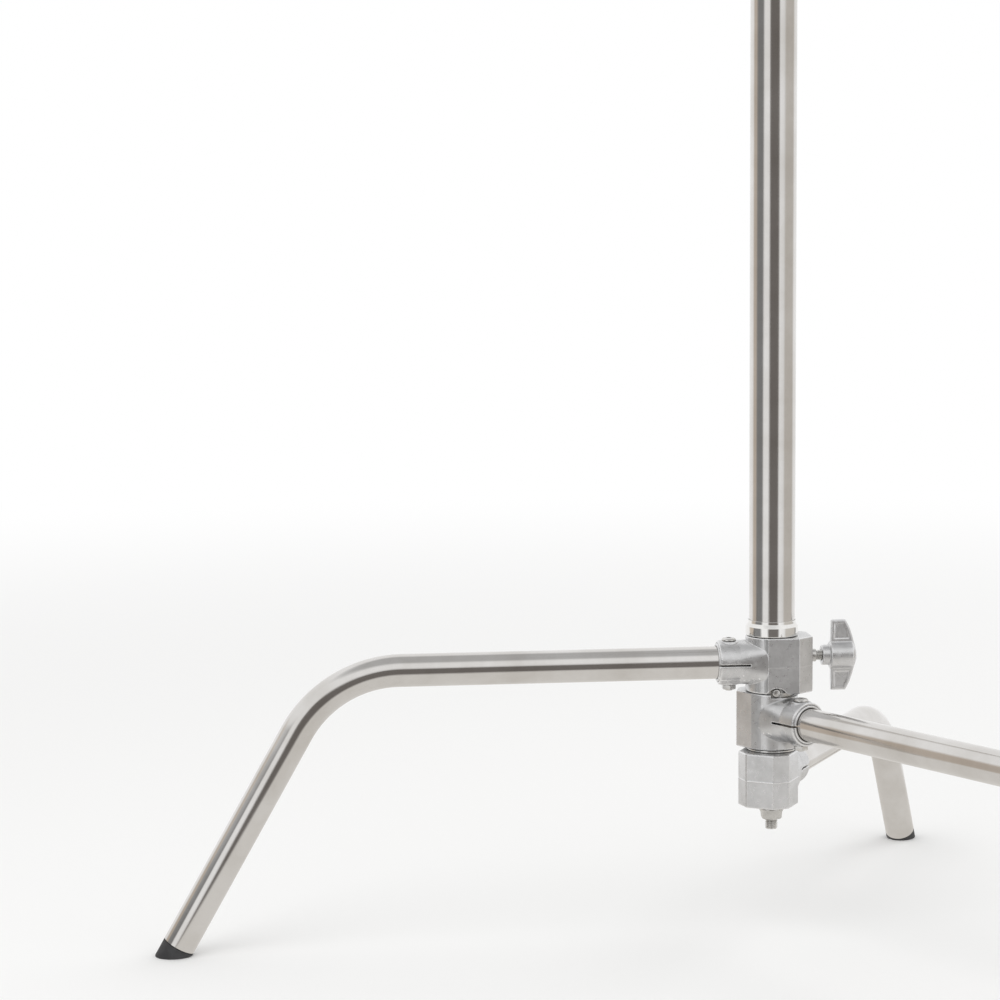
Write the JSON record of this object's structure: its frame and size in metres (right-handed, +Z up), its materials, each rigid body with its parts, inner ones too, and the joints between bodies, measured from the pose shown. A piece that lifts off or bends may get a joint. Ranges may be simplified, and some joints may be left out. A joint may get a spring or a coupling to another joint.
{
  "type": "c stand",
  "caption": "Folding lighting stand with bent steel legs on stacked cast collars, a removable column and telescoping risers with clamp knobs.",
  "frame": {"origin": "lower end face of the centre stud, on the column axis, 84 mm above the floor", "axes": "+Z up along the column; the high leg runs out towards -X and the base knob points towards +X"},
  "size_m": [0.6889, 0.6731, 1.345],
  "materials": {
    "tube_steel": "polished stainless tube with fine lengthwise lines",
    "chrome": "bright chrome",
    "bolt_steel": "zinc-plated steel",
    "cast_metal": "tumbled die casting, satin",
    "brass": "plain turned",
    "rubber": "matt black",
    "nylon": "black nylon"
  },
  "bodies": {
    "base": {"base_post": "bolt_steel", "high_casting": "cast_metal", "high_leg": "tube_steel", "high_leg_foot": "rubber", "high_leg_bolt": "bolt_steel", "high_leg_nut": "bolt_steel", "mid_stop_pin": "chrome", "low_stop_pin": "bolt_steel", "thrust_washer": "chrome", "flange_nut": "bolt_steel"},
    "mid_leg_body": {"mid_casting": "cast_metal", "mid_leg": "tube_steel", "mid_leg_foot": "rubber", "mid_leg_bolt": "bolt_steel", "mid_leg_nut": "bolt_steel"},
    "low_leg_body": {"low_casting": "cast_metal", "low_leg": "tube_steel", "low_leg_foot": "rubber", "low_leg_bolt": "bolt_steel", "low_leg_nut": "bolt_steel"},
    "base_shoe_body": {"base_shoe": "brass"},
    "base_knob": {"base_knob_screw": "bolt_steel", "base_knob_wing": "cast_metal"},
    "ring": {"column_ring": "chrome"},
    "column": {"column_spigot": "bolt_steel", "column_tube": "tube_steel", "column_clamp": "cast_metal", "column_clamp_grub": "bolt_steel"},
    "column_shoe_body": {"column_shoe": "brass"},
    "column_knob": {"column_knob_screw": "bolt_steel", "column_knob_wing": "cast_metal"},
    "riser_1_guide": {"riser_1_bush": "nylon"},
    "riser_1": {"riser_1_tube": "tube_steel", "riser_clamp": "cast_metal", "riser_clamp_grub": "bolt_steel"},
    "riser_shoe_body": {"riser_shoe": "brass"},
    "riser_knob": {"riser_knob_screw": "bolt_steel", "riser_knob_wing": "cast_metal"},
    "riser_2_guide": {"riser_2_bush": "nylon"},
    "riser_2": {"riser_2_tube": "tube_steel", "top_stud": "chrome"}
  },
  "joints": [
    {"name": "mid_leg_swing", "type": "hinge", "parent": "base", "child": "mid_leg_body", "pos_m": [0, 0, 0.087], "axis": [0, 0, 1], "range_deg": [-120, 0]},
    {"name": "low_leg_swing", "type": "hinge", "parent": "base", "child": "low_leg_body", "pos_m": [0, 0, 0.043], "axis": [0, 0, 1], "range_deg": [0, 121]},
    {"name": "base_shoe_travel", "type": "slide", "parent": "base", "child": "base_shoe_body", "axis": [1, 0, 0], "range_m": [0, 0.0025]},
    {"name": "base_knob_turn", "type": "hinge", "parent": "base_shoe_body", "child": "base_knob", "pos_m": [0.0295, 0, 0.1344], "axis": [1, 0, 0], "range_deg": [0, 720]},
    {"name": "column_lift", "type": "slide", "parent": "base", "child": "ring", "axis": [0, 0, 1], "range_m": [0, 0.11]},
    {"name": "column_spin", "type": "hinge", "parent": "ring", "child": "column", "pos_m": [0, 0, 0.155], "axis": [0, 0, 1], "continuous": true},
    {"name": "column_shoe_travel", "type": "slide", "parent": "column", "child": "column_shoe_body", "axis": [1, 0, 0], "range_m": [0, 0.0025]},
    {"name": "column_knob_turn", "type": "hinge", "parent": "column_shoe_body", "child": "column_knob", "pos_m": [0.0272, 0, 1.1], "axis": [1, 0, 0], "range_deg": [0, 720]},
    {"name": "riser_1_slide", "type": "slide", "parent": "column", "child": "riser_1_guide", "axis": [0, 0, 1], "range_m": [0, 0.81]},
    {"name": "riser_1_spin", "type": "hinge", "parent": "riser_1_guide", "child": "riser_1", "pos_m": [0, 0, 0.216], "axis": [0, 0, 1], "continuous": true},
    {"name": "riser_shoe_travel", "type": "slide", "parent": "riser_1", "child": "riser_shoe_body", "axis": [-1, 0, 0], "range_m": [0, 0.0025]},
    {"name": "riser_knob_turn", "type": "hinge", "parent": "riser_shoe_body", "child": "riser_knob", "pos_m": [-0.0247, 0, 1.1585], "axis": [-1, 0, 0], "range_deg": [0, 720]},
    {"name": "riser_2_slide", "type": "slide", "parent": "riser_1", "child": "riser_2_guide", "axis": [0, 0, 1], "range_m": [0, 0.835]},
    {"name": "riser_2_spin", "type": "hinge", "parent": "riser_2_guide", "child": "riser_2", "pos_m": [0, 0, 0.256], "axis": [0, 0, 1], "continuous": true}
  ],
  "couplings": [
    {"joint": "base_knob_turn", "follows": "base_shoe_travel", "rad_per_m": 5026.5},
    {"joint": "column_knob_turn", "follows": "column_shoe_travel", "rad_per_m": 5026.5},
    {"joint": "riser_knob_turn", "follows": "riser_shoe_travel", "rad_per_m": 5026.5}
  ]
}
